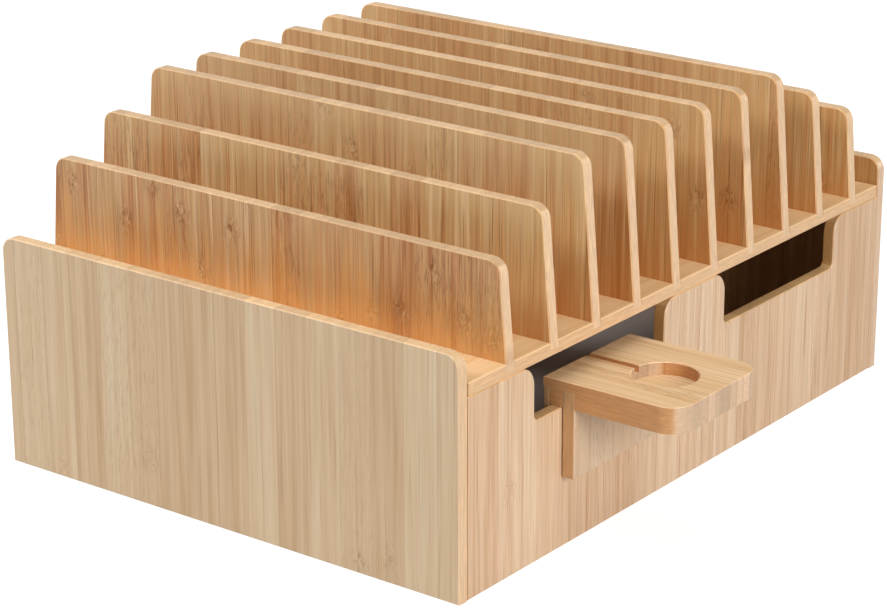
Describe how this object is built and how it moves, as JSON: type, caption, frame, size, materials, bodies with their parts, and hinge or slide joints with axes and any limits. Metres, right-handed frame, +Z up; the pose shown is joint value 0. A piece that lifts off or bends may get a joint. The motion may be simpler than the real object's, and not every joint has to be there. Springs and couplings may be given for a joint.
{
  "type": "charging station organizer",
  "caption": "Bamboo box with a lift-off deck of upright dividers for charging phones and tablets, cable cut-outs in its sides and a hooked watch charger arm.",
  "frame": {"origin": "middle of the box's underside, on the surface it stands on", "axes": "+Z up, the front panel faces -Y, and the watch arm points to +X"},
  "size_m": [0.3142, 0.3454, 0.1681],
  "materials": {
    "wall_bamboo": "satin clear-coated side-pressed bamboo, upright grain",
    "base_grey_board": "grey laminated fibreboard",
    "deck_bamboo": "satin clear-coated bamboo, grain from front to back",
    "divider_bamboo": "satin clear-coated bamboo, upright grain",
    "arm_bamboo": "satin clear-coated bamboo, grain along the arm"
  },
  "bodies": {
    "box": {"front_panel": "wall_bamboo", "back_panel": "wall_bamboo", "left_side_panel": "wall_bamboo", "right_side_panel": "wall_bamboo", "base_panel": "base_grey_board"},
    "deck": {"deck_panel": "deck_bamboo", "deck_batten_front": "deck_bamboo", "deck_batten_rear": "deck_bamboo", "divider_01": "divider_bamboo", "divider_02": "divider_bamboo", "divider_03": "divider_bamboo", "divider_04": "divider_bamboo", "divider_05": "divider_bamboo", "divider_06": "divider_bamboo", "divider_07": "divider_bamboo", "divider_08": "divider_bamboo", "divider_09": "divider_bamboo", "divider_10": "divider_bamboo"},
    "watch_arm": {"watch_arm_panel": "arm_bamboo", "watch_arm_outer_plate": "arm_bamboo", "watch_arm_inner_plate": "arm_bamboo"}
  },
  "joints": [
    {"name": "deck_lift", "type": "slide", "parent": "box", "child": "deck", "axis": [0, 0, 1], "range_m": [0, 0.03]},
    {"name": "arm_slide", "type": "slide", "parent": "box", "child": "watch_arm", "axis": [0, 1, 0], "range_m": [-0.0162, 0.0102]}
  ]
}
